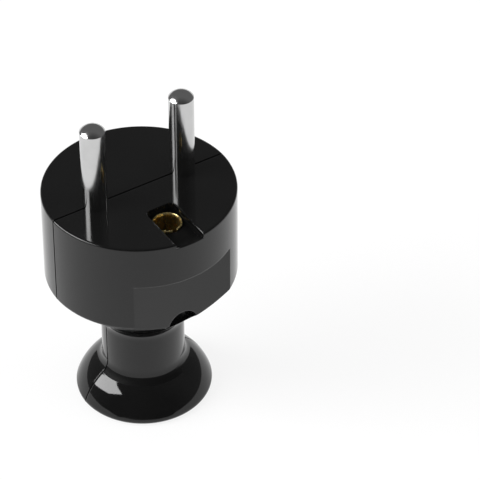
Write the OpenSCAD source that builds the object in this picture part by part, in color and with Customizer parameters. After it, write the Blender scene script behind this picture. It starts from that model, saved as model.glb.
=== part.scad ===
// Rewireable round-pin power plug: a drum with two pins and a sunk earth contact on its face,
// a cone, a neck and a flared cord mouth, moulded as two half shells that one screw holds.
// Millimetres. The plug stands on its flared mouth, Z runs up the pins, X runs from pin to pin,
// the half with the earth contact is on -Y, and the halves meet on the plane Y = 0.

/* [Housing] */
// Outer diameter of the drum
body_d = 37; // [35:0.1:41]
// Length of the drum, from shoulder to pin face
drum_h = 19.3; // [18.5:0.1:24]
// Length of the cone between drum and neck
cone_h = 10.6; // [10:0.1:13]
// Outer diameter of the neck
neck_d = 16.2; // [15.4:0.1:18]
// Length of the neck
neck_h = 11.8; // [10.4:0.1:14]
// Length of the flared mouth
flare_h = 7.3; // [6.8:0.1:8.4]
// Largest diameter of the flared mouth
flare_d = 26.7; // [25:0.1:30]
// Radius of the flared mouth's bulging side
flare_side_r = 11.5; // [10:0.5:16]
// Thickness of the outer wall
wall = 2.2; // [1.8:0.1:2.6]
// Thickness of the wall behind the pin face
face_wall = 4; // [3.4:0.1:4.8]
// Rounding of the face rim
edge_r = 0.45; // [0.2:0.05:0.7]
// Rounding of the shoulder between drum and cone
shoulder_r = 0.8; // [0.4:0.1:1.2]
// Rounding in the corner between cone and neck
neck_fillet = 5; // [3:0.1:6]
// Rounding in the corner between neck and flared mouth
foot_fillet = 3; // [1.5:0.1:3.5]
// Rounding of the mouth's rim
rim_r = 0.95; // [0.6:0.05:1.2]
// How far past the seam the centre of each half's outside lies, so that the half leaves its mould
draft_shift = 0.15; // [0.1:0.05:0.5]
// Width of the groove along the seam
seam_w = 0.3; // [0.16:0.02:0.4]
// Depth of the groove along the seam
seam_depth = 0.45; // [0.2:0.05:0.5]

/* [Cord mouth] */
// Diameter of the bore that the cord passes through
cord_bore_d = 10.2; // [9.4:0.1:10.8]
// Length of that bore, from the end of the mouth
cord_bore_h = 9.5; // [8.5:0.1:10.5]
// Diameter where the mouth starts to fall towards the bore
funnel_d = 20.8; // [18:0.1:22]
// Slope of the funnel, in degrees
funnel_slope = 7; // [4:0.5:10]
// Rounding of the lip between funnel and bore
lip_r = 2.2; // [1.5:0.1:2.6]

/* [Cord grip] */
// Length of the grip along the cord
grip_h = 6.4; // [5.6:0.1:7]
// Thickness of the grip's back
grip_t = 1.8; // [1.4:0.1:2.2]
// Wall of the neck behind the grip
grip_wall = 1.8; // [1.4:0.1:2]
// How deep the grip sits in its pocket
grip_sink = 0.6; // [0.4:0.1:0.9]
// Distance of the grip from the end of the bore
grip_sill = 0.5; // [0.4:0.1:0.8]
// Angle that the grip spans round the cord
grip_span = 120; // [100:5:140]
// Number of teeth
grip_teeth = 3; // [2:1:4]
// Height of a tooth
tooth_h = 0.7; // [0.4:0.1:1]
// Width of a tooth
tooth_w = 1.2; // [0.8:0.1:1.3]

/* [Pins] */
// Diameter of a pin
pin_d = 4.8; // [4:0.1:5.2]
// Length of a pin outside the face
pin_l = 18.4; // [15:0.1:24]
// Distance between the pins' axes
pin_pitch = 19; // [18.4:0.1:20.6]
// Height of a pin's domed tip
pin_dome = 1.2; // [0.8:0.1:2]
// Step from the pin to its shank, which passes through the face wall
shank_step = 0.3; // [0.25:0.05:0.4]
// Diameter of the spigot that is pressed into the terminal
spigot_d = 3.2; // [2.6:0.1:3.3]
// Length of that spigot
spigot_l = 3.4; // [2.6:0.1:4]

/* [Terminals] */
// Width and depth of a terminal block
block_w = 7; // [6.6:0.1:7.6]
// Height of a terminal block
block_h = 11.2; // [10.6:0.1:12]
// Diameter of the wire hole
wire_hole_d = 3.4; // [3.2:0.1:4]
// Depth of the wire hole
wire_hole_h = 6.4; // [5.8:0.1:7]
// Thread diameter of a terminal screw
term_screw_d = 3; // [2.6:0.1:3.2]
// Diameter of a terminal screw's head
term_head_d = 5.2; // [4.6:0.1:5.6]
// Height of a terminal screw's head
term_head_h = 1.7; // [1.4:0.1:2]
// Height of a terminal screw's axis above the block's foot
term_screw_z = 3.2; // [3:0.1:3.6]
// How far a terminal screw's head stands off the block
term_head_lift = 0.8; // [0.4:0.1:1.2]

/* [Earth contact] */
// Distance of the earth contact's axis from the line of the pins
earth_offset = 10; // [9.6:0.1:10.6]
// Bore of the rolled earth sleeve
earth_bore_d = 4.86; // [4.4:0.02:5]
// Thickness of the earth contact's sheet
earth_sheet = 0.4; // [0.35:0.05:0.6]
// Width of the slit along the sleeve
earth_slit = 0.9; // [0.5:0.1:1.4]
// How far the sleeve's lip stands above the pocket's floor
earth_proud = 0.5; // [0.2:0.1:0.9]
// Room between the sleeve and the sides of the pocket in the pin face
pocket_room = 0.1; // [0.08:0.01:0.3]
// Depth of that pocket
pocket_depth = 2; // [1.6:0.1:2.4]
// Rounding of the pocket's inner corners
pocket_corner_r = 1; // [0.5:0.1:1.5]
// Chamfer along the pocket's edges
pocket_chamfer = 0.15; // [0.1:0.05:0.3]
// Depth of the notch through the rim in front of the pocket
notch_depth = 1; // [0.4:0.1:1.4]
// Width of the sill between pocket and rim
sill_w = 1.3; // [0.8:0.1:1.8]

/* [Earth terminal] */
// Width of the tab below the sleeve
tab_w = 6; // [5.6:0.1:6.6]
// Height of the tab
tab_h = 6; // [5.6:0.1:6.6]
// Width of the neck between tab and sleeve
tab_neck_w = 2.6; // [2:0.1:3]
// Height of that neck
tab_neck_h = 0.6; // [0.4:0.1:1]
// Thread diameter of the earth screw
earth_screw_d = 3; // [2.6:0.1:3.2]
// Length of the earth screw under its head
earth_screw_l = 2.75; // [2.2:0.05:3]
// Diameter of the earth screw's head
earth_head_d = 5.2; // [4.6:0.1:5.4]
// Height of the earth screw's head
earth_head_h = 1.7; // [1.4:0.1:2]
// Width of the square washer
washer_w = 5.6; // [5:0.1:5.8]
// Thickness of the washer
washer_t = 0.8; // [0.6:0.1:1]

/* [Grip flat] */
// Depth of the flat below the drum's surface
flat_depth = 3.3; // [2:0.1:3.4]
// Distance of the flat's ledge from the pin face
flat_setback = 9.4; // [8:0.1:11]
// Rounding of the ledge's edge
ledge_r = 0.4; // [0.2:0.05:0.6]

/* [Housing screw] */
// Distance of the screw's axis from the shoulder, towards the mouth
screw_drop = 3.85; // [3.2:0.05:4.2]
// Thread diameter
screw_d = 3; // [2.6:0.1:3.2]
// Length under the head
screw_l = 16; // [15:0.5:17]
// Diameter of the head
screw_head_d = 5.5; // [5:0.1:5.8]
// Height of the head
screw_head_h = 2.2; // [1.8:0.1:2.6]
// Room between the head and the side of its recess
recess_room = 0.35; // [0.25:0.05:0.5]
// Distance of the recess floor from the seam
recess_floor = 7.2; // [6.8:0.1:7.6]
// Thickness of the recess floor
recess_floor_t = 2.2; // [1.6:0.1:2.6]
// Wall of the bosses round the screw
boss_wall = 1.2; // [1:0.1:1.4]
// Width of the square nut across its flats
nut_w = 5.5; // [5:0.1:5.8]
// Thickness of the nut
nut_t = 2.4; // [2:0.1:2.6]
// Distance of the nut's slot from the seam
nut_y = 5; // [4.6:0.1:5.4]

/* [Ribs and pegs] */
// Thickness of the moulded partitions and ribs
rib = 1; // [0.8:0.1:1.2]
// Height of the shelf under a terminal block
shelf_h = 2; // [1.4:0.1:2.4]
// Width of the pads before and behind a terminal block
pad_w = 3.6; // [3:0.1:4.4]
// Thickness of the web beside a terminal block
web_t = 2; // [1.4:0.1:2.6]
// Distance of that web from the seam
web_y = 0.4; // [0.2:0.1:0.8]
// Room between a wire hole and the shelf's edge
wire_room = 0.5; // [0.3:0.1:0.8]
// Room between a terminal screw's head and the pad above it
driver_room = 0.6; // [0.4:0.1:0.8]
// Diameter of the pegs that line the halves up
peg_d = 2; // [1.6:0.1:2.2]
// Length of the pegs
peg_l = 2.2; // [1.6:0.1:3]
// Height of the lower pegs above the end of the mouth
mouth_peg_z = 4.8; // [4:0.1:5.2]

/* [Fits] */
// Gap between a piece and its moulded seat
seat_gap = 0.15; // [0.1:0.05:0.2]
// Gap in threads and pressed joints
fit_gap = 0.02; // [0.01:0.01:0.04]
// Gap round the earth sleeve in its seat
sleeve_gap = 0.04; // [0.02:0.01:0.1]
// Gap round a screw in a plain hole
screw_gap = 0.1; // [0.05:0.05:0.2]

/* [Hidden] */
$fn = 96;

// Reach of a cutter past the surface that it cuts
over = 1;
// Reach of a shape that the housing itself cuts off
far = body_d;
// How much a rounding disc is enlarged, so that it crosses its neighbours and doesn't just touch them
hair = 0.0005;

// Radii and heights of the housing
body_r = body_d / 2;
body_front = body_r - draft_shift;
neck_r = neck_d / 2;
flare_r = flare_d / 2;
bore_r = cord_bore_d / 2;
chamber_r = body_r - wall;
z_neck = flare_h;
z_cone = z_neck + neck_h;
z_drum = z_cone + cone_h;
z_face = z_drum + drum_h;
z_inside = z_face - face_wall;
z_ledge = z_face - flat_setback;
flat_dist = body_front - flat_depth;
cone_run = body_r - neck_r;
// The cone's wall measured level, not square to it
cone_wall = wall * norm([cone_run, cone_h]) / cone_h;

// The flared mouth's section: a rim disc, a bulging side that the disc touches from inside and that runs
// into the neck, and a fillet that touches both. All three keep their centres when they are taken in.
rim_centre = [flare_r - rim_r, rim_r];
side_centre =
    let (neck_end = [neck_r, flare_h],
         v = neck_end - rim_centre,
         d = norm(v),
         reach = flare_side_r - rim_r,
         a = (pow(reach, 2) - pow(flare_side_r, 2) + pow(d, 2)) / (2 * d),
         h = sqrt(pow(reach, 2) - pow(a, 2)))
    rim_centre + (v * a + [-v[1], v[0]] * h) / d;
fillet_centre =
    let (x = neck_r + foot_fillet)
    [x, side_z(x, flare_side_r + foot_fillet)];
to_rim = unit(rim_centre - side_centre);
to_fillet = unit(fillet_centre - side_centre);

// Housing screw and its bosses
z_screw = z_drum - screw_drop;
screw_hole_d = screw_d + 2 * screw_gap;
recess_d = screw_head_d + 2 * recess_room;
boss_d = recess_d + 2 * boss_wall;
tip_room = 1.5;

// Pins and terminals
pin_x = pin_pitch / 2;
shank_d = pin_d - 2 * shank_step;
z_block_top = z_inside - seat_gap;
z_block = z_block_top - block_h;
z_term_screw = z_block + term_screw_z;
block_side = block_w / 2 + seat_gap;
part_x = pin_x - block_side;
shelf_y = wire_hole_d / 2 + wire_room;
pad_z = z_term_screw + term_head_d / 2 + driver_room;

// Earth contact
earth_y = -earth_offset;
sleeve_r = earth_bore_d / 2;
sleeve_or = sleeve_r + earth_sheet;
seat_r = sleeve_or + sleeve_gap;
pocket_half = sleeve_or + pocket_room;
z_pocket = z_face - pocket_depth;
z_sleeve_top = z_pocket + earth_proud;
z_tab = z_screw + boss_d / 2 + seat_gap;
z_tab_top = z_tab + tab_h;
z_sleeve = z_tab_top + tab_neck_h;
sleeve_l = z_sleeve_top - z_sleeve;
// The tab lies a little outside the sleeve's back, so that the two never share a tangent
tab_step = 0.03;
tab_back = earth_y + sleeve_or + tab_step;
tab_front = tab_back - earth_sheet;
z_earth_screw = z_tab + washer_w / 2 + seat_gap;

// Cord grip
z_grip = cord_bore_h + grip_sill;
grip_or = neck_r - grip_wall;
grip_ir = grip_or - grip_t;
passage_r = grip_or - grip_sink;

// Slots in the screw heads
slot_w = 0.8;
slot_depth = 0.9;

black = [0.06, 0.06, 0.065];
dark_grey = [0.12, 0.12, 0.12];
nickel = [0.72, 0.72, 0.71];
brass = [0.78, 0.62, 0.28];
zinc = [0.6, 0.62, 0.65];

// Outlines with rounded corners. A corner is [x, y] or [x, y, radius], listed anticlockwise.

function place(c) = [c[0], c[1]];
function unit(v) = v / norm(v);
function turn(a, b) = a[0] * b[1] - a[1] * b[0];
function before(cs, i) = unit(place(cs[(i + len(cs) - 1) % len(cs)]) - place(cs[i]));
function after(cs, i) = unit(place(cs[(i + 1) % len(cs)]) - place(cs[i]));
function half_angle(cs, i) = acos(before(cs, i) * after(cs, i)) / 2;
function is_round(c) = len(c) == 3 && c[2] > 0;
function is_convex(cs, i) = turn(after(cs, i), before(cs, i)) > 0;
function arc_start(cs, i) = place(cs[i]) + before(cs, i) * cs[i][2] / tan(half_angle(cs, i));
function arc_end(cs, i) = place(cs[i]) + after(cs, i) * cs[i][2] / tan(half_angle(cs, i));
function arc_centre(cs, i) =
    place(cs[i]) + unit(before(cs, i) + after(cs, i)) * cs[i][2] / sin(half_angle(cs, i));
function outline_points(cs) = [
    for (i = [0 : len(cs) - 1])
        each is_round(cs[i]) ? [arc_start(cs, i), arc_end(cs, i)] : [place(cs[i])]
];

module corner_disc(cs, i, extra = 0) {
    translate(arc_centre(cs, i)) circle(r = cs[i][2] + extra);
}

// The outline with its round corners cut straight, plus a disc in each outer corner and less one in
// each inner corner
module rounded_outline(cs) {
    difference() {
        union() {
            polygon(outline_points(cs));
            for (i = [0 : len(cs) - 1])
                if (is_round(cs[i]) && is_convex(cs, i)) corner_disc(cs, i);
        }
        for (i = [0 : len(cs) - 1])
            if (is_round(cs[i]) && !is_convex(cs, i)) corner_disc(cs, i, hair);
    }
}

// A cylinder along Y from y0 to y1
module rod_y(d, y0, y1, x = 0, z = 0) {
    translate([x, y0, z]) rotate([-90, 0, 0]) cylinder(d = d, h = y1 - y0);
}

module box(x, y, z) {
    translate([x[0], y[0], z[0]]) cube([x[1] - x[0], y[1] - y[0], z[1] - z[0]]);
}

module both_sides() {
    children();
    mirror([1, 0, 0]) children();
}

// Height of the bulging side at distance x from the axis, and its distance from the axis at height z
function side_z(x, r = flare_side_r) = side_centre[1] + sqrt(pow(r, 2) - pow(x - side_centre[0], 2));
function side_x(z, r = flare_side_r) = side_centre[0] + sqrt(pow(r, 2) - pow(z - side_centre[1], 2));

// Half section of the housing without those curves, taken in by inset all round
function housing_section(inset) = [
    [0, inset],
    [rim_centre[0], inset],
    side_centre + to_rim * (flare_side_r - inset),
    side_centre + to_fillet * (flare_side_r - inset),
    [neck_r - inset, fillet_centre[1]],
    [neck_r - inset, z_cone, neck_fillet + inset],
    [body_r - inset, z_drum, shoulder_r],
    [body_r - inset, z_face - inset, edge_r],
    [0, z_face - inset]
];

// The bulging side between the rim and the fillet
module flare_side(inset) {
    intersection() {
        translate(side_centre) circle(r = flare_side_r - inset);
        polygon([rim_centre, side_centre + to_rim * far, side_centre + to_fillet * far,
            side_centre + to_fillet * (flare_side_r - rim_r)]);
    }
}

module housing_outline(inset = 0) {
    difference() {
        union() {
            rounded_outline(housing_section(inset));
            translate(rim_centre + [0, hair]) circle(r = rim_r - inset + hair);
            flare_side(inset);
        }
        translate(fillet_centre) circle(r = foot_fillet + inset + hair);
    }
}

// Half section of the room inside, from the funnel and the bore to the wiring chamber
function room_section() =
    let (fall = tan(funnel_slope),
         funnel_r = funnel_d / 2,
         rise = cone_h / cone_run,
         cone_foot_r = neck_r - cone_wall)
    [
        [0, -over],
        [funnel_r + over / fall, -over],
        [bore_r, (funnel_r - bore_r) * fall, lip_r],
        [bore_r, cord_bore_h],
        [passage_r, cord_bore_h],
        [passage_r, z_cone + (passage_r - cone_foot_r) * rise],
        [chamber_r, z_cone + (chamber_r - cone_foot_r) * rise],
        [chamber_r, z_inside],
        [0, z_inside]
    ];

module room_solid() {
    rotate_extrude() rounded_outline(room_section());
}

// One half of the housing, still solid: side is -1 for the front half and 1 for the rear half
module half_solid(side) {
    intersection() {
        translate([0, -side * draft_shift, 0]) rotate_extrude() housing_outline();
        box([-far, far], side < 0 ? [-far, 0] : [0, far], [-over, z_face + over]);
    }
}

// The groove that shows along the seam
module seam_groove() {
    rotate([90, 0, 0]) linear_extrude(height = seam_w, center = true) difference() {
        translate([-far, -far]) square([2 * far, z_face + 2 * far]);
        both_sides() housing_outline(seam_depth);
    }
}

// What is cut from both halves for the pins
module pin_seats() {
    both_sides() translate([pin_x, 0, z_inside - over])
        cylinder(d = shank_d + 2 * seat_gap, h = face_wall + 2 * over);
}

// Walls that part the chambers of the pins and of the earth wire
module partitions(side) {
    both_sides() box([part_x - rib, part_x], side < 0 ? [-far, -seat_gap] : [seat_gap, far],
        [z_block - shelf_h, z_face]);
}

// Pegs on the front half, and with extra room the holes for them in the rear half
module pegs(extra) {
    face_x = (pin_x + pin_d / 2 + body_r) / 2;
    mouth_x = (bore_r + side_x(mouth_peg_z)) / 2;
    both_sides() {
        rod_y(peg_d + 2 * extra, -over, peg_l + extra, face_x, z_face - face_wall / 2);
        rod_y(peg_d + 2 * extra, -over, peg_l + extra, mouth_x, mouth_peg_z);
    }
}

// Front half

// The solid block that holds the earth sleeve, open towards the seam below the face wall
module earth_seat() {
    difference() {
        box([-part_x, part_x], [-far, tab_back], [z_sleeve, z_face]);
        translate([0, earth_y, z_sleeve - over]) cylinder(r = seat_r, h = far);
        box([-seat_r, seat_r], [earth_y, far], [z_sleeve - over, z_face]);
    }
}

module front_boss() {
    rod_y(boss_d, -far, recess_floor_t - recess_floor, z = z_screw);
    rod_y(screw_hole_d + 2 * boss_wall, -recess_floor, 0, z = z_screw);
}

// Pads that keep the terminal blocks from tilting forwards
module front_pads() {
    both_sides() box([pin_x - pad_w / 2, pin_x + pad_w / 2], [-far, -block_side], [pad_z, z_face]);
}

// Ridges in the passage that bite the cord from the front
module cord_ridges() {
    for (k = [0 : grip_teeth - 1])
        translate([0, 0, z_grip + grip_h * (k + 0.5) / grip_teeth - tooth_w / 2])
            rotate_extrude() translate([grip_ir, 0]) square([far, tooth_w]);
}

module front_room() {
    difference() {
        intersection() {
            room_solid();
            box([-far, far], [wall - flat_dist, over], [-over, z_face]);
        }
        earth_seat();
        partitions(-1);
        front_boss();
        front_pads();
        cord_ridges();
    }
}

// The sunk way to the earth contact: a pocket, its chamfered sides and the notch through the rim
module earth_pocket() {
    inner = earth_y + pocket_half;
    outer = sill_w - body_front;
    half = pocket_half;
    flare = half + pocket_chamfer + over;
    translate([0, 0, z_pocket]) linear_extrude(height = pocket_depth + over) rounded_outline([
        [-half, outer], [half, outer], [half, inner, pocket_corner_r], [-half, inner, pocket_corner_r]]);
    box([-half, half], [-far, outer + over], [z_face - notch_depth, z_face + over]);
    translate([0, inner - pocket_corner_r, z_face]) rotate([90, 0, 0]) linear_extrude(height = far)
        polygon([[-half, -pocket_chamfer], [half, -pocket_chamfer], [flare, over], [-flare, over]]);
    translate([0, earth_y, z_sleeve]) cylinder(r = seat_r, h = far);
}

// The flat that the fingers hold, from the cone up to its ledge
module grip_flat() {
    box([-far, far], [-far, -flat_dist], [-over, z_ledge]);
    intersection() {
        translate([0, draft_shift, z_ledge]) rotate_extrude() difference() {
            translate([body_r - ledge_r, -over]) square([ledge_r + over, over + ledge_r]);
            translate([body_r - ledge_r, ledge_r]) circle(r = ledge_r + hair);
        }
        box([-far, far], [-far, -flat_dist], [z_ledge - over / 2, z_face]);
    }
}

module front_shell() {
    color(black) union() {
        difference() {
            half_solid(-1);
            front_room();
            grip_flat();
            earth_pocket();
            pin_seats();
            seam_groove();
            rod_y(recess_d, -far, -recess_floor, z = z_screw);
            rod_y(screw_hole_d, -far, over, z = z_screw);
        }
        pegs(0);
    }
}

// Rear half

module rear_boss() {
    rod_y(boss_d, 0, far, z = z_screw);
}

// A shelf under each block, a web at its side and ribs behind it, which take the forces on the pins
module block_seats() {
    z_foot = z_block - seat_gap - shelf_h;
    both_sides() {
        box([part_x - rib, far], [shelf_y, far], [z_foot, z_block - seat_gap]);
        box([pin_x + block_side, far], [web_y, web_y + web_t], [z_foot, z_face]);
        for (x = [pin_x - pad_w / 2, pin_x + pad_w / 2 - rib])
            box([x, x + rib], [block_side, far], [z_foot, z_face]);
    }
}

module rear_room() {
    difference() {
        intersection() {
            room_solid();
            box([-far, far], [-over, far], [-over, z_face]);
        }
        partitions(1);
        block_seats();
        rear_boss();
    }
}

// A slot that the square nut slides into from the wiring chamber
module nut_slot() {
    half = nut_w / 2 + seat_gap;
    box([-half, half], [nut_y, nut_y + nut_t + 2 * seat_gap], [z_screw - half, z_screw + boss_d / 2 + over]);
}

module grip_pocket() {
    play = atan(seat_gap / grip_or);
    translate([0, 0, z_grip - seat_gap]) rotate([0, 0, 90 - grip_span / 2 - play])
        rotate_extrude(angle = grip_span + 2 * play) square([grip_or + seat_gap, grip_h + 2 * seat_gap]);
}

module rear_shell() {
    color(black) difference() {
        half_solid(1);
        rear_room();
        pin_seats();
        seam_groove();
        nut_slot();
        grip_pocket();
        pegs(seat_gap);
        rod_y(screw_hole_d, -over, screw_l - recess_floor + tip_room, z = z_screw);
    }
}

// Pins and terminals: side is -1 on the left and 1 on the right

module pin(side) {
    dome_r = (pow(pin_d / 2, 2) + pow(pin_dome, 2)) / (2 * pin_dome);
    z_tip = z_face + pin_l;
    color(nickel) translate([side * pin_x, 0, 0]) union() {
        translate([0, 0, z_face]) cylinder(d = pin_d, h = pin_l - pin_dome);
        intersection() {
            translate([0, 0, z_tip - dome_r]) sphere(r = dome_r);
            translate([0, 0, z_tip - pin_dome]) cylinder(d = pin_d, h = pin_dome + over);
        }
        translate([0, 0, z_block_top]) cylinder(d = shank_d, h = z_face - z_block_top);
        translate([0, 0, z_block_top - spigot_l]) cylinder(d = spigot_d, h = spigot_l);
    }
}

module terminal(side) {
    half = block_w / 2;
    color(brass) translate([side * pin_x, 0, 0]) difference() {
        box([-half, half], [-half, half], [z_block, z_block_top - fit_gap]);
        translate([0, 0, z_block_top - spigot_l - seat_gap])
            cylinder(d = spigot_d + 2 * fit_gap, h = spigot_l + over);
        translate([0, 0, z_block - over]) cylinder(d = wire_hole_d, h = wire_hole_h + over);
        rod_y(term_screw_d, -half - over, 0, z = z_term_screw);
    }
}

// A slotted screw along Y, with the underside of its head at y = 0 and its thread towards +Y
module slotted_screw(d, l, head_d, head_h) {
    rod_y(d - 2 * fit_gap, 0, l);
    difference() {
        rod_y(head_d, -head_h, 0);
        box([-head_d, head_d], [-head_h - over, slot_depth - head_h], [-slot_w / 2, slot_w / 2]);
    }
}

// The screw stops short of the middle of the wire hole, ready for a wire
module terminal_screw(side) {
    head_y = -block_w / 2 - term_head_lift;
    color(zinc) translate([side * pin_x, head_y, z_term_screw])
        slotted_screw(term_screw_d, -head_y - seat_gap, term_head_d, term_head_h);
}

// Earth contact: a sleeve rolled from sheet, with a tab that carries its screw

module earth_sleeve() {
    lead = earth_sheet;
    difference() {
        translate([0, earth_y, z_sleeve]) rotate_extrude() polygon([
            [sleeve_r, 0], [sleeve_or, 0], [sleeve_or, sleeve_l - lead / 4],
            [sleeve_or - lead / 4, sleeve_l], [sleeve_r + lead / 2, sleeve_l], [sleeve_r, sleeve_l - lead]]);
        box([-earth_slit / 2, earth_slit / 2], [-far, earth_y], [z_sleeve - over, z_face]);
    }
}

module earth_contact() {
    color(brass) difference() {
        union() {
            earth_sleeve();
            box([-tab_neck_w / 2, tab_neck_w / 2], [tab_front, tab_back],
                [z_tab_top - over, z_sleeve + over]);
            box([-tab_w / 2, tab_w / 2], [tab_front, tab_back], [z_tab, z_tab_top]);
        }
        translate([0, earth_y, z_sleeve]) cylinder(r = sleeve_r, h = far);
        rod_y(earth_screw_d, tab_front - over, tab_back + over, z = z_earth_screw);
    }
}

module earth_washer() {
    half = washer_w / 2;
    y = tab_back + fit_gap;
    color(zinc) difference() {
        box([-half, half], [y, y + washer_t], [z_earth_screw - half, z_earth_screw + half]);
        rod_y(earth_screw_d + 2 * screw_gap, y - over, y + washer_t + over, z = z_earth_screw);
    }
}

module earth_screw() {
    color(zinc) translate([0, tab_back + washer_t + 2 * fit_gap, z_earth_screw]) rotate([0, 0, 180])
        slotted_screw(earth_screw_d, earth_screw_l, earth_head_d, earth_head_h);
}

// Cord grip: a saddle with teeth that the closed halves press on the cord

module cord_grip() {
    color(dark_grey) translate([0, 0, z_grip]) rotate([0, 0, 90 - grip_span / 2])
        rotate_extrude(angle = grip_span) union() {
            translate([grip_ir, 0]) square([grip_t, grip_h]);
            for (k = [0 : grip_teeth - 1])
                translate([grip_ir - tooth_h, grip_h * (k + 0.5) / grip_teeth - tooth_w / 2])
                    square([tooth_h + grip_t / 2, tooth_w]);
        }
}

// Screw and nut that hold the halves together

module housing_screw() {
    color(zinc) translate([0, -recess_floor - fit_gap, z_screw])
        slotted_screw(screw_d, screw_l, screw_head_d, screw_head_h);
}

module housing_nut() {
    half = nut_w / 2;
    y = nut_y + seat_gap;
    color(zinc) difference() {
        box([-half, half], [y, y + nut_t], [z_screw - half, z_screw + half]);
        rod_y(screw_d, y - over, y + nut_t + over, z = z_screw);
    }
}

front_shell();
rear_shell();
pin(-1);  // left_pin
pin(1);  // right_pin
terminal(-1);  // left_terminal
terminal(1);  // right_terminal
terminal_screw(-1);  // left_terminal_screw
terminal_screw(1);  // right_terminal_screw
earth_contact();
earth_washer();
earth_screw();
cord_grip();
housing_screw();
housing_nut();
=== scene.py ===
"""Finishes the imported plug: a glossy moulded housing, nickelled pins, brass contacts, threaded
screws and a white studio with one softbox.

Lengths are metres where nothing else is said. The frame is the part's own: the plug stands on its
flared mouth at z = 0, Z runs up the pins, X runs from pin to pin, and the half with the earth
contact is on -Y.
"""

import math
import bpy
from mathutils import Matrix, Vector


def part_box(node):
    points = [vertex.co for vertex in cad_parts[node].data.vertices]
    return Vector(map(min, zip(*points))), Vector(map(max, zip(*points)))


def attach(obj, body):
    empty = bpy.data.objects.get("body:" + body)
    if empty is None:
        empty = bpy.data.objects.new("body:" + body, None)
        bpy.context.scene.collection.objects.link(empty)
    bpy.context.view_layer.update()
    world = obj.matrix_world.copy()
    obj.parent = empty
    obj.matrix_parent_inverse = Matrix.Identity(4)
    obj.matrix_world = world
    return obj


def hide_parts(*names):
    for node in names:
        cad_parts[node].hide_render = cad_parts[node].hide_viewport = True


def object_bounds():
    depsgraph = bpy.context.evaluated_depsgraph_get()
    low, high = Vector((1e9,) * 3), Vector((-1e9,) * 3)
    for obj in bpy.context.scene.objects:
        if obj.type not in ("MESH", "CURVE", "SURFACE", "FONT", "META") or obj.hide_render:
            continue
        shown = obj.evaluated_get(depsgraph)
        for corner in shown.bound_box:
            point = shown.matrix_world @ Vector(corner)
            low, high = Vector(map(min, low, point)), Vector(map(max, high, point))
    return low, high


bl_info = {
    "name": "Rewireable plug finish",
    "version": (1, 0, 0),
    "blender": (4, 5, 0),
    "location": "View3D > Sidebar > Plug",
    "description": "Finishes the moulded plug, its pins, contacts and screws, and sets its studio",
    "category": "Object",
}

from typing import NamedTuple

import bmesh
import bpy
from bpy.props import FloatProperty, FloatVectorProperty, PointerProperty
from bpy.types import Operator, Panel, PropertyGroup
from mathutils import Matrix, Quaternion, Vector

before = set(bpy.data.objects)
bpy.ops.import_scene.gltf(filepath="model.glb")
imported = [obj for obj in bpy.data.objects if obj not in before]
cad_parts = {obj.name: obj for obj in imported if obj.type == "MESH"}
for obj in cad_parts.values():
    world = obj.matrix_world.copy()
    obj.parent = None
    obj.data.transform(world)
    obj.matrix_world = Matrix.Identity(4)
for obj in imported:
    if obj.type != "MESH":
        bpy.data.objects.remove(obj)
CAD_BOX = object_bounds()

MM = 0.001
BODY = "root"
MIDDLE = (CAD_BOX[0] + CAD_BOX[1]) / 2

# Groups of nodes that share a finish
SHELLS = ("front_shell", "rear_shell")
PINS = ("left_pin", "right_pin")
CONTACTS = ("left_terminal", "right_terminal", "earth_contact")
SMALL_FIXINGS = ("earth_washer", "housing_nut")
CORD_GRIP = "cord_grip"


class PaintedShadeBox(NamedTuple):
    """A box in millimetres round a recess or crease of the housing that gets painted shade: a low
    index dims its reflection there, and a higher roughness stands for a weaker polish.

    The painted shade fades out past the box, over a width for each axis.
    """

    centre: tuple
    half_size: tuple
    fade: tuple


# The narrowest fade, which looks like an edge
CRISP = 0.05
# Places of the housing that get painted shade: their reflection is dimmed through a low index, and
# they are rougher too
PAINTED_SHADE_BOXES = (
    # Floor and sill of the earth contact's pocket
    PaintedShadeBox(centre=(0, -12.35, 47.05), half_size=(2.91, 5.55, 1.05), fade=(CRISP, CRISP, CRISP)),
    # Corner between neck and mouth at the front
    PaintedShadeBox(centre=(-3.85, -4.85, 7.15), half_size=(5.85, 4.85, 0.6), fade=(3, CRISP, CRISP)),
    # Groove along the drum's seam
    PaintedShadeBox(centre=(0, 0, 39.5), half_size=(18.6, 0.15, 10.6), fade=(CRISP, CRISP, CRISP)),
)

# Most values of a noise lie between these
NOISE_LOW = 0.3
NOISE_HIGH = 0.7
# Rays that look for the neighbours of a soft edge
EDGE_SAMPLES = 8

# Facets round a screw, its head and the rounded edge of the head
THREAD_STEPS = 32
HEAD_SEGMENTS = 64
HEAD_EDGE_SEGMENTS = 3
# Turns drawn past each end of a thread, which are cut off
SPARE_TURNS = 2
# Vertices closer than this are one
WELD = 0.0001 * MM
# Edges of a screw that bend more than this look sharp
SHARP_ANGLE = math.radians(32)

# The floor lies this far below the plug
FLOOR_GAP = 0.01 * MM
FLOOR_SEGMENTS = 96
# Corners of the softbox in its own plane, from the one at the back, over the top, to the front
SOFTBOX_CORNERS = ((-0.39, -0.15), (-0.26, 0.155), (0.239, 0.26), (0.7, -0.04), (0.259, -0.19))
FILL_PLACE = (0.9, -0.7, 0.7)
FILL_WIDTH = 0.9
# The way to the back of the room. The room is dim on that side, and darkens towards its front until
# the cosine of the angle from that way is DARKEST
BACK_OF_ROOM = (0.536, 0.844, 0)
DARKEST = -0.6
# Millimetres
SENSOR_WIDTH = 36


class ScrewForm(NamedTuple):
    """What the frame's box doesn't tell about a screw.

    head_side is +1 where the head looks along +Y, and -1 where it looks along -Y.
    """

    node: str
    head_side: int
    head_height: float
    shank_radius: float = 1.48 * MM


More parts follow.
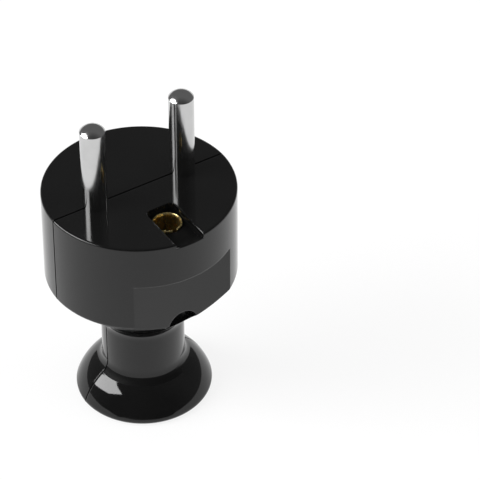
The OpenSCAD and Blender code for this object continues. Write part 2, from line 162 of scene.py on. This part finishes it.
SCREWS = (
    ScrewForm("housing_screw", head_side=-1, head_height=2.2 * MM),
    ScrewForm("left_terminal_screw", head_side=-1, head_height=1.7 * MM),
    ScrewForm("right_terminal_screw", head_side=-1, head_height=1.7 * MM),
    ScrewForm("earth_screw", head_side=1, head_height=1.7 * MM),
)


# Settings


def colour(name, description, default):
    """A colour setting"""
    return FloatVectorProperty(
        name=name, description=description, default=default, subtype="COLOR", size=3, min=0, max=1
    )


def share(name, description, default):
    """A setting from 0 to 1"""
    return FloatProperty(
        name=name, description=description, default=default, subtype="FACTOR", min=0, max=1
    )


def strength(name, description, default):
    """A setting for the brightness of a light"""
    return FloatProperty(name=name, description=description, default=default, min=0)


def length(name, description, default):
    """A setting in metres"""
    return FloatProperty(
        name=name, description=description, default=default,
        unit="LENGTH", subtype="DISTANCE", min=0, precision=5,
    )


def point(name, description, default):
    """A setting for a place in the room"""
    return FloatVectorProperty(
        name=name, description=description, default=default,
        subtype="TRANSLATION", unit="LENGTH", size=3,
    )


def angle(name, description, degrees):
    """A setting for a turn"""
    return FloatProperty(
        name=name, description=description, default=math.radians(degrees), subtype="ANGLE"
    )


class PlugHousingSettings(PropertyGroup):
    """The moulded plastics"""

    black: colour("Housing colour", "Body colour of the glossy housing", (0.0043, 0.0043, 0.0043))
    gloss_low: share("Smoothest gloss", "Roughness where the mould was polished best", 0.045)
    gloss_high: share("Dullest gloss", "Roughness where the mould was polished least", 0.085)
    sink_height: length(
        "Sink marks", "Height of the slow waves in the moulded surface", 0.0025 * MM
    )
    edge_round: length(
        "Edge rounding", "Rounding that the mould leaves along sharp edges", 0.2 * MM
    )
    grip_grey: colour("Grip colour", "Body colour of the matt cord grip", (0.045, 0.045, 0.046))


class PlugMetalSettings(PropertyGroup):
    """The plated and bright metals"""

    nickel: colour("Nickel", "Colour of the plated pins", (0.565, 0.565, 0.565))
    brass: colour("Brass", "Colour of the contacts", (0.95, 0.75, 0.33))
    zinc: colour("Zinc", "Colour of the plated screws, washer and nut", (0.66, 0.67, 0.69))


class PlugScrewSettings(PropertyGroup):
    """The slotted screws"""

    pitch: length("Thread pitch", "Distance between two turns of the thread", 0.5 * MM)
    thread_depth: length("Thread depth", "Height of the thread over its root", 0.3 * MM)
    tip: length("Screw tip", "Length of the plain tip below the thread", 0.5 * MM)
    slot_width: length("Slot width", "Width of the slot in a head", 0.8 * MM)
    slot_depth: length("Slot depth", "Depth of the slot in a head", 0.9 * MM)
    head_edge: length("Head edge", "Rounding along the top edges of a head", 0.18 * MM)


class PlugStageSettings(PropertyGroup):
    """The floor, the light and the camera"""

    floor_size: length("Floor size", "Half the width of the white floor", 4)
    floor_glow: share("Floor glow", "Share of the floor's white that a shadow doesn't reach", 0.8)
    floor_white: share("Floor white", "Diffuse white of the floor", 0.87)
    room_light: strength("Room light", "Strength of the even light from all round", 0.72)
    back_gloss: strength(
        "Back of the room", "Brightness of the room's back that gloss mirrors", 0.155
    )
    front_gloss: strength(
        "Front of the room", "Brightness of the room's front that gloss mirrors", 0.06
    )
    softbox_glow: strength("Softbox glow", "Brightness of the softbox on the left", 12)
    softbox_place: point("Softbox place", "Where the softbox hangs", (-0.787, 0.401, 0.522))
    softbox_roll: angle("Softbox roll", "Turn of the softbox about its own axis", 30)
    fill_power: FloatProperty(
        name="Fill power", description="Power of the broad fill lamp on the right", default=4,
        unit="POWER", min=0,
    )
    camera_place: point("Camera place", "Where the camera stands", (-0.23444, -0.40527, 0.4341))
    camera_target: point(
        "Camera target", "Point that the camera looks at", (0.01654, -0.00907, 0.0348)
    )
    camera_roll: angle("Camera roll", "Turn of the camera about its own axis", -0.15)
    camera_lens: FloatProperty(
        name="Camera lens", description="Focal length on a sensor 36 mm wide", default=243.6,
        unit="CAMERA", min=1,
    )


# Nodes


def joined(tree, operation, *values):
    """One value from several, taken two at a time"""
    total, *others = values
    for value in others:
        node = tree.nodes.new("ShaderNodeMath")
        node.operation = operation
        tree.links.new(total, node.inputs[0])
        tree.links.new(value, node.inputs[1])
        total = node.outputs[0]
    return total


def mapped(tree, value, low, high, start, end):
    """The value from start to end, mapped to low to high"""
    node = tree.nodes.new("ShaderNodeMapRange")
    limits = {"From Min": start, "From Max": end, "To Min": low, "To Max": high}
    for socket, number in limits.items():
        node.inputs[socket].default_value = number
    tree.links.new(value, node.inputs["Value"])
    return node.outputs["Result"]


def mixed(tree, amount, first, second):
    """The first shader where the amount is 0, and the second where it is 1"""
    node = tree.nodes.new("ShaderNodeMixShader")
    for value, socket in ((amount, "Fac"), (first, 1), (second, 2)):
        tree.links.new(value, node.inputs[socket])
    return node.outputs[0]


# Materials


class Finish:
    """A material with a Principled shader and the few nodes that these finishes are made of"""

    def __init__(self, name):
        self.material = bpy.data.materials.new(name)
        self.material.use_nodes = True
        self.tree = self.material.node_tree
        self.nodes = self.tree.nodes
        self.links = self.tree.links
        self.shader = self.nodes["Principled BSDF"]
        self.place = self.nodes.new("ShaderNodeTexCoord").outputs["Object"]
        self.normal = None

    def set(self, **values):
        """Plain values for the shader"""
        for socket, value in values.items():
            self.shader.inputs[socket].default_value = value

    def scaled(self, scale):
        """Object coordinates times a scale for each axis"""
        mapping = self.nodes.new("ShaderNodeMapping")
        mapping.inputs["Scale"].default_value = scale
        self.links.new(self.place, mapping.inputs["Vector"])
        return mapping.outputs["Vector"]

    def noise(self, scale, detail=2, stretch=None):
        """A noise over the object, finer along an axis with a stretch over 1 and longer under 1"""
        node = self.nodes.new("ShaderNodeTexNoise")
        node.inputs["Scale"].default_value = scale
        node.inputs["Detail"].default_value = detail
        place = self.scaled(stretch) if stretch else self.place
        self.links.new(place, node.inputs["Vector"])
        return node.outputs[0]

    def between(self, value, low, high, start=NOISE_LOW, end=NOISE_HIGH):
        """A noise from start to end, mapped to low to high"""
        return mapped(self.tree, value, low, high, start, end)

    def inside(self, box):
        """1 inside a painted shade box and 0 past its fade"""
        place = self.scaled((1 / MM,) * 3)
        steps = (
            ("SUBTRACT", box.centre),
            ("ABSOLUTE", None),
            ("SUBTRACT", box.half_size),
            ("DIVIDE", box.fade),
        )
        for operation, vector in steps:
            node = self.nodes.new("ShaderNodeVectorMath")
            node.operation = operation
            self.links.new(place, node.inputs[0])
            if vector:
                node.inputs[1].default_value = vector
            place = node.outputs["Vector"]
        apart = self.nodes.new("ShaderNodeSeparateXYZ")
        self.links.new(place, apart.inputs[0])
        farthest = joined(self.tree, "MAXIMUM", *apart.outputs)
        return mapped(self.tree, farthest, low=1, high=0, start=0, end=1)

    def tone(self, value, base, dark, light):
        """Body colour that runs from dark times base to light times base"""
        ramp = self.nodes.new("ShaderNodeValToRGB")
        stops = zip(ramp.color_ramp.elements, (NOISE_LOW, NOISE_HIGH), (dark, light))
        for element, position, factor in stops:
            element.position = position
            element.color = [channel * factor for channel in base] + [1]
        self.links.new(value, ramp.inputs["Fac"])
        self.links.new(ramp.outputs["Color"], self.shader.inputs["Base Color"])

    def roughness(self, *values):
        """Roughness that is the sum of the values"""
        self.links.new(joined(self.tree, "ADD", *values), self.shader.inputs["Roughness"])

    def paint_shade(self, boxes, base, roughness, index):
        """A rougher shader with a low index inside the boxes, which dims their reflection as
        painted shade
        """
        plain = self.nodes.new("ShaderNodeBsdfPrincipled")
        plain.inputs["Base Color"].default_value = (*base, 1)
        plain.inputs["Roughness"].default_value = roughness
        plain.inputs["IOR"].default_value = index
        mask = joined(self.tree, "ADD", *(self.inside(box) for box in boxes))
        surface = mixed(self.tree, mask, self.shader.outputs[0], plain.outputs[0])
        self.links.new(surface, self.nodes["Material Output"].inputs["Surface"])

    def soft_edges(self, radius):
        """Rounds sharp edges in the shading"""
        node = self.nodes.new("ShaderNodeBevel")
        node.samples = EDGE_SAMPLES
        node.inputs["Radius"].default_value = radius
        self.normal = node.outputs["Normal"]

    def bump(self, value, height):
        """Adds a relief of that height over those that are there"""
        node = self.nodes.new("ShaderNodeBump")
        node.inputs["Distance"].default_value = height
        self.links.new(value, node.inputs["Height"])
        if self.normal:
            self.links.new(self.normal, node.inputs["Normal"])
        self.normal = node.outputs["Normal"]
        self.links.new(self.normal, self.shader.inputs["Normal"])


def glossy_black(settings):
    """Glossy thermoset: slow sink marks, a polish that varies, a few faint rub marks, and painted
    shade in the earth pocket, the neck's corner and the seam groove
    """
    finish = Finish("moulded_gloss_black")
    finish.set(IOR=1.43)
    finish.tone(finish.noise(scale=60), settings.black, dark=0.85, light=1.15)
    waves = finish.noise(scale=110, detail=3)
    polish = finish.between(waves, low=settings.gloss_low, high=settings.gloss_high)
    marks = finish.noise(scale=90, detail=4, stretch=(9, 9, 0.6))
    rubbed = finish.between(marks, low=0, high=0.03, start=0.62, end=0.8)
    finish.roughness(polish, rubbed)
    # Painted shade: the pocket, the neck's corner and the seam groove reflect less through a low
    # index
    finish.paint_shade(PAINTED_SHADE_BOXES, settings.black, roughness=0.5, index=1.15)
    finish.soft_edges(settings.edge_round)
    finish.bump(finish.noise(scale=220, detail=1), height=settings.sink_height)
    # The grain of the moulded skin is a tenth as high as the sink marks
    finish.bump(finish.noise(scale=5000), height=settings.sink_height / 10)
    return finish.material


def matt_grip(settings):
    """Matt engineering plastic with a spark-eroded grain"""
    finish = Finish("moulded_matt_grip")
    finish.set(IOR=1.5)
    finish.tone(finish.noise(scale=400), settings.grip_grey, dark=0.8, light=1.2)
    grain = finish.noise(scale=6000, detail=3)
    finish.roughness(finish.between(grain, low=0.45, high=0.65))
    finish.bump(grain, height=0.02 * MM)
    return finish.material


def plated_nickel(settings):
    """Polished nickel over turned brass: fine rings round each pin and cloudy plating"""
    finish = Finish("polished_nickel")
    finish.set(Metallic=1)
    finish.tone(finish.noise(scale=300, detail=3), settings.nickel, dark=0.96, light=1.03)
    rings = finish.noise(scale=900, detail=3, stretch=(0.02, 0.02, 4))
    turned = finish.between(rings, low=0.13, high=0.16)
    clouds = finish.between(finish.noise(scale=500, detail=3), low=0, high=0.03)
    finish.roughness(turned, clouds)
    finish.bump(rings, height=0.0002 * MM)
    return finish.material


def bright_brass(settings):
    """Bright brass sheet and bar with the lines of the rolling along Z"""
    finish = Finish("rolled_brass")
    finish.set(Metallic=1)
    finish.tone(finish.noise(scale=250, detail=4), settings.brass, dark=0.9, light=1.06)
    lines = finish.noise(scale=1500, detail=4, stretch=(3, 3, 0.08))
    rolled = finish.between(lines, low=0.2, high=0.26)
    stains = finish.between(finish.noise(scale=350, detail=4), low=0, high=0.08)
    finish.roughness(rolled, stains)
    finish.soft_edges(0.3 * MM)
    finish.bump(lines, height=0.002 * MM)
    return finish.material


def zinc_plate(settings):
    """Bright zinc over turned steel, a little cloudy"""
    finish = Finish("zinc_plated_steel")
    finish.set(Metallic=1)
    finish.tone(finish.noise(scale=700, detail=4), settings.zinc, dark=0.88, light=1.08)
    grain = finish.noise(scale=2600, detail=3)
    finish.roughness(finish.between(grain, low=0.2, high=0.34))
    finish.bump(grain, height=0.004 * MM)
    return finish.material


def dress(names, material):
    """Gives CAD nodes a finish"""
    for name in names:
        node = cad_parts.get(name)
        if node is None:
            raise RuntimeError(f"the frame has no node {name}")
        for slot in node.material_slots:
            slot.material = material


# Pieces


def everything(bm):
    """All vertices, edges and faces"""
    return bm.verts[:] + bm.edges[:] + bm.faces[:]


def only(geometry, kind):
    """The vertices, the edges or the faces among mixed geometry"""
    return [element for element in geometry if isinstance(element, kind)]


def make_piece(bm, mesh, material):
    """An object with the mesh's name, filled from a bmesh that isn't needed after it"""
    bm.to_mesh(mesh)
    bm.free()
    mesh.materials.append(material)
    piece = bpy.data.objects.new(mesh.name, mesh)
    bpy.context.scene.collection.objects.link(piece)
    return piece


def draw_head(bm, radius, height, screw):
    """A cheese head along +Z with its underside at z = 0 and a slot along X"""
    floor_z = height - screw.slot_depth
    bmesh.ops.create_circle(
        bm, cap_ends=True, segments=HEAD_SEGMENTS, radius=radius,
        matrix=Matrix.Translation((0, 0, floor_z)),
    )
    for side in (-1, 1):
        wall = (0, side * screw.slot_width / 2, 0)
        bmesh.ops.bisect_plane(
            bm, geom=everything(bm), dist=WELD, plane_co=wall, plane_no=(0, 1, 0)
        )
    rim = [edge for edge in bm.edges if edge.is_boundary]
    lands = [
        face for face in bm.faces if abs(face.calc_center_median().y) > screw.slot_width / 2
    ]
    raised = bmesh.ops.extrude_face_region(bm, geom=lands)["geom"]
    bmesh.ops.translate(
        bm, verts=only(raised, bmesh.types.BMVert), vec=(0, 0, screw.slot_depth)
    )
    bmesh.ops.delete(bm, geom=[face for face in lands if face.is_valid], context="FACES_ONLY")
    lowered = bmesh.ops.extrude_edge_only(bm, edges=rim)["geom"]
    bmesh.ops.translate(bm, verts=only(lowered, bmesh.types.BMVert), vec=(0, 0, -floor_z))
    bmesh.ops.contextual_create(bm, geom=only(lowered, bmesh.types.BMEdge))
    top = [edge for edge in bm.edges if all(vert.co.z > height - WELD for vert in edge.verts)]
    bmesh.ops.bevel(
        bm, geom=top, offset=screw.head_edge, affect="EDGES", segments=HEAD_EDGE_SEGMENTS,
        profile=0.5, material=-1, clamp_overlap=True,
    )


def draw_shank(bm, radius, reach, screw):
    """A thread along -Z from z = 0, with a plain tip that ends at -reach"""
    root = radius - screw.thread_depth
    # Root flat, flank, crest flat and flank of one turn, as shares of the pitch
    section = ((0, root), (0.25, root), (0.5625, radius), (0.6875, radius))
    turns = math.ceil(reach / screw.pitch) + 2 * SPARE_TURNS
    points = [
        bm.verts.new((r, 0, (SPARE_TURNS - turn - part) * screw.pitch))
        for turn in range(turns)
        for part, r in section
    ]
    edges = [bm.edges.new(pair) for pair in zip(points, points[1:])]
    bmesh.ops.spin(
        bm, geom=points + edges, cent=(0, 0, 0), axis=(0, 0, 1), angle=2 * math.pi,
        steps=THREAD_STEPS, dvec=(0, 0, -screw.pitch / THREAD_STEPS),
    )
    bmesh.ops.remove_doubles(bm, verts=bm.verts[:], dist=WELD)
    for cut_z, direction in ((0, 1), (screw.tip - reach, -1)):
        cut = bmesh.ops.bisect_plane(
            bm, geom=everything(bm), dist=WELD, plane_co=(0, 0, cut_z),
            plane_no=(0, 0, direction), clear_outer=True,
        )
        bmesh.ops.contextual_create(bm, geom=only(cut["geom_cut"], bmesh.types.BMEdge))
    bmesh.ops.create_cone(
        bm, cap_ends=True, segments=THREAD_STEPS, radius1=root - screw.tip / 2, radius2=root,
        depth=screw.tip, matrix=Matrix.Translation((0, 0, screw.tip / 2 - reach)),
    )


def cut_screw(form, screw, material):
    """A threaded, slotted screw in the place of its plain node"""
    low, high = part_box(form.node)
    centre = (low + high) / 2
    head_radius = (high.x - low.x) / 2
    reach = high.y - low.y - form.head_height
    if reach <= screw.tip:
        raise RuntimeError(f"{form.node} is too short for its head")
    mesh = bpy.data.meshes.new(form.node + "_threaded")
    whole = bmesh.new()
    for draw, radius, height in (
        (draw_head, head_radius, form.head_height),
        (draw_shank, form.shank_radius, reach),
    ):
        bm = bmesh.new()
        draw(bm, radius, height, screw)
        bmesh.ops.recalc_face_normals(bm, faces=bm.faces[:])
        bm.to_mesh(mesh)
        bm.free()
        whole.from_mesh(mesh)
    seat_y = high.y - form.head_height if form.head_side > 0 else low.y + form.head_height
    turn = Matrix.Rotation(math.radians(-90 * form.head_side), 4, "X")
    seat = Matrix.Translation((centre.x, seat_y, centre.z))
    bmesh.ops.transform(whole, verts=whole.verts[:], matrix=seat @ turn)
    piece = make_piece(whole, mesh, material)
    mesh.shade_smooth()
    mesh.set_sharp_from_angle(angle=SHARP_ANGLE)
    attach(piece, BODY)
    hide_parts(form.node)


# Stage


def stage_material(name):
    """A material with nothing in it, its node tree and the socket for its shader"""
    material = bpy.data.materials.new(name)
    material.use_nodes = True
    tree = material.node_tree
    tree.nodes.clear()
    return material, tree, tree.nodes.new("ShaderNodeOutputMaterial").inputs["Surface"]


def emission(tree, brightness):
    """A white glow"""
    node = tree.nodes.new("ShaderNodeEmission")
    node.inputs["Strength"].default_value = brightness
    return node.outputs[0]


def background(tree, brightness):
    """A white light from all round"""
    node = tree.nodes.new("ShaderNodeBackground")
    node.inputs["Color"].default_value = (1, 1, 1, 1)
    node.inputs["Strength"].default_value = brightness
    return node


def looking(place, target, roll=0):
    """The turn of a thing at that place whose -Z looks at the target"""
    return (target - place).to_track_quat("-Z", "Y") @ Quaternion((0, 0, 1), roll)


def stand(name, data, place, target, roll=0):
    """A lamp or a camera at that place, which looks at the target"""
    holder = bpy.data.objects.new(name, data)
    holder.location = place
    holder.rotation_mode = "QUATERNION"
    holder.rotation_quaternion = looking(place, target, roll)
    bpy.context.scene.collection.objects.link(holder)
    return holder


def rays_that_see(tree):
    """1 for rays from the camera, from gloss and through glass, and 0 for those of diffuse light"""
    rays = tree.nodes.new("ShaderNodeLightPath").outputs
    kinds = ("Is Camera Ray", "Is Glossy Ray", "Is Transmission Ray")
    return joined(tree, "MAXIMUM", *(rays[kind] for kind in kinds))


def lay_floor(stage):
    """A white floor: part of its white is its own, the rest is lit and takes the plug's shadow"""
    material, tree, surface = stage_material("white_floor")
    lit = tree.nodes.new("ShaderNodeBsdfDiffuse")
    lit.inputs["Color"].default_value = (stage.floor_white,) * 3 + (1,)
    own = tree.nodes.new("ShaderNodeMath")
    own.operation = "MULTIPLY"
    own.inputs[1].default_value = stage.floor_glow
    tree.links.new(rays_that_see(tree), own.inputs[0])
    white = mixed(tree, own.outputs[0], lit.outputs[0], emission(tree, 1))
    tree.links.new(white, surface)

    bm = bmesh.new()
    below = Matrix.Translation((0, 0, CAD_BOX[0].z - FLOOR_GAP))
    bmesh.ops.create_circle(
        bm, cap_ends=True, segments=FLOOR_SEGMENTS, radius=stage.floor_size, matrix=below
    )
    floor = make_piece(bm, bpy.data.meshes.new("floor"), material)


def room_in_gloss(tree, stage):
    """Brightness of the room that gloss mirrors, from its dark front to its dim back"""
    ray = tree.nodes.new("ShaderNodeTexCoord")
    towards_back = tree.nodes.new("ShaderNodeVectorMath")
    towards_back.operation = "DOT_PRODUCT"
    towards_back.inputs[1].default_value = BACK_OF_ROOM
    tree.links.new(ray.outputs["Generated"], towards_back.inputs[0])
    return mapped(
        tree, towards_back.outputs["Value"],
        low=stage.front_gloss, high=stage.back_gloss, start=DARKEST, end=0,
    )


def fill_room(stage):
    """A room that the camera sees as white, that gloss mirrors as dim and that lights evenly"""
    world = bpy.data.worlds.new("studio")
    bpy.context.scene.world = world
    world.use_nodes = True
    tree = world.node_tree
    tree.nodes.clear()
    even, mirrored, white = (background(tree, light) for light in (stage.room_light, 0, 1))
    tree.links.new(room_in_gloss(tree, stage), mirrored.inputs["Strength"])
    rays = tree.nodes.new("ShaderNodeLightPath").outputs
    room = mixed(tree, rays["Is Glossy Ray"], even.outputs[0], mirrored.outputs[0])
    room = mixed(tree, rays["Is Camera Ray"], room, white.outputs[0])
    tree.links.new(room, tree.nodes.new("ShaderNodeOutputWorld").inputs["Surface"])


def hang_softbox(stage):
    """A glowing sheet with a long front corner, as the gloss shows it"""
    material, tree, surface = stage_material("softbox_sheet")
    tree.links.new(emission(tree, stage.softbox_glow), surface)

    place = Vector(stage.softbox_place)
    hung = Matrix.LocRotScale(place, looking(place, MIDDLE, stage.softbox_roll), None)
    bm = bmesh.new()
    corners = [bm.verts.new((*corner, 0)) for corner in SOFTBOX_CORNERS]
    bmesh.ops.contextual_create(bm, geom=corners)
    bmesh.ops.transform(bm, matrix=hung, verts=bm.verts[:])
    softbox = make_piece(bm, bpy.data.meshes.new("softbox"), material)
    softbox.visible_camera = False


def hang_fill(stage):
    """A broad lamp that gloss doesn't show"""
    lamp = bpy.data.lights.new("fill", "AREA")
    lamp.shape = "SQUARE"
    lamp.size = FILL_WIDTH
    lamp.energy = stage.fill_power
    fill = stand("fill", lamp, Vector(FILL_PLACE), MIDDLE)
    fill.visible_camera = False
    fill.visible_glossy = False


def place_camera(stage):
    """The camera at the photo's angle"""
    camera = bpy.data.cameras.new("camera")
    camera.sensor_width = SENSOR_WIDTH
    camera.lens = stage.camera_lens
    place, target = Vector(stage.camera_place), Vector(stage.camera_target)
    bpy.context.scene.camera = stand("camera", camera, place, target, stage.camera_roll)


# Operators


class PLUG_OT_mould_housing(Operator):
    """Give both half shells their glossy black"""

    bl_idname = "plug.mould_housing"
    bl_label = "Mould housing"

    def execute(self, context):
        dress(SHELLS, glossy_black(context.scene.plug_housing))
        return {"FINISHED"}


class PLUG_OT_mould_cord_grip(Operator):
    """Give the cord grip its matt grain"""

    bl_idname = "plug.mould_cord_grip"
    bl_label = "Mould cord grip"

    def execute(self, context):
        dress((CORD_GRIP,), matt_grip(context.scene.plug_housing))
        return {"FINISHED"}


class PLUG_OT_plate_pins(Operator):
    """Plate both pins with polished nickel"""

    bl_idname = "plug.plate_pins"
    bl_label = "Plate pins"

    def execute(self, context):
        dress(PINS, plated_nickel(context.scene.plug_metal))
        return {"FINISHED"}


class PLUG_OT_brighten_contacts(Operator):
    """Give the terminal blocks and the earth contact their bright brass"""

    bl_idname = "plug.brighten_contacts"
    bl_label = "Brighten contacts"

    def execute(self, context):
        dress(CONTACTS, bright_brass(context.scene.plug_metal))
        return {"FINISHED"}


class PLUG_OT_cut_screws(Operator):
    """Cut threads and slots for the four screws, and plate them with the washer and the nut"""

    bl_idname = "plug.cut_screws"
    bl_label = "Cut screws"

    def execute(self, context):
        zinc = zinc_plate(context.scene.plug_metal)
        dress(SMALL_FIXINGS, zinc)
        for form in SCREWS:
            cut_screw(form, context.scene.plug_screws, zinc)
        return {"FINISHED"}


class PLUG_OT_set_stage(Operator):
    """Lay the white floor, hang the softbox and the fill lamp, and place the camera"""

    bl_idname = "plug.set_stage"
    bl_label = "Set stage"

    def execute(self, context):
        stage = context.scene.plug_stage
        lay_floor(stage)
        fill_room(stage)
        hang_softbox(stage)
        hang_fill(stage)
        place_camera(stage)
        context.scene.view_settings.view_transform = "Standard"
        return {"FINISHED"}


class PLUG_PT_sidebar(Panel):
    """The plug's pieces and its stage"""

    bl_idname = "PLUG_PT_sidebar"
    bl_label = "Plug"
    bl_space_type = "VIEW_3D"
    bl_region_type = "UI"
    bl_category = "Plug"

    def draw(self, context):
        for operator in OPERATORS:
            self.layout.operator(operator.bl_idname)
        for name, group in SETTINGS.items():
            box = self.layout.box()
            for prop in group.__annotations__:
                box.prop(getattr(context.scene, name), prop)


OPERATORS = (
    PLUG_OT_mould_housing,
    PLUG_OT_mould_cord_grip,
    PLUG_OT_plate_pins,
    PLUG_OT_brighten_contacts,
    PLUG_OT_cut_screws,
    PLUG_OT_set_stage,
)
SETTINGS = {
    "plug_housing": PlugHousingSettings,
    "plug_metal": PlugMetalSettings,
    "plug_screws": PlugScrewSettings,
    "plug_stage": PlugStageSettings,
}
CLASSES = (*SETTINGS.values(), *OPERATORS, PLUG_PT_sidebar)


def register():
    for cls in CLASSES:
        bpy.utils.register_class(cls)
    for name, group in SETTINGS.items():
        setattr(bpy.types.Scene, name, PointerProperty(type=group))


def unregister():
    for name in SETTINGS:
        delattr(bpy.types.Scene, name)
    for cls in reversed(CLASSES):
        bpy.utils.unregister_class(cls)


def main():
    register()
    bpy.ops.plug.mould_housing()
    bpy.ops.plug.mould_cord_grip()
    bpy.ops.plug.plate_pins()
    bpy.ops.plug.brighten_contacts()
    bpy.ops.plug.cut_screws()
    bpy.ops.plug.set_stage()


if __name__ == "__main__":
    main()
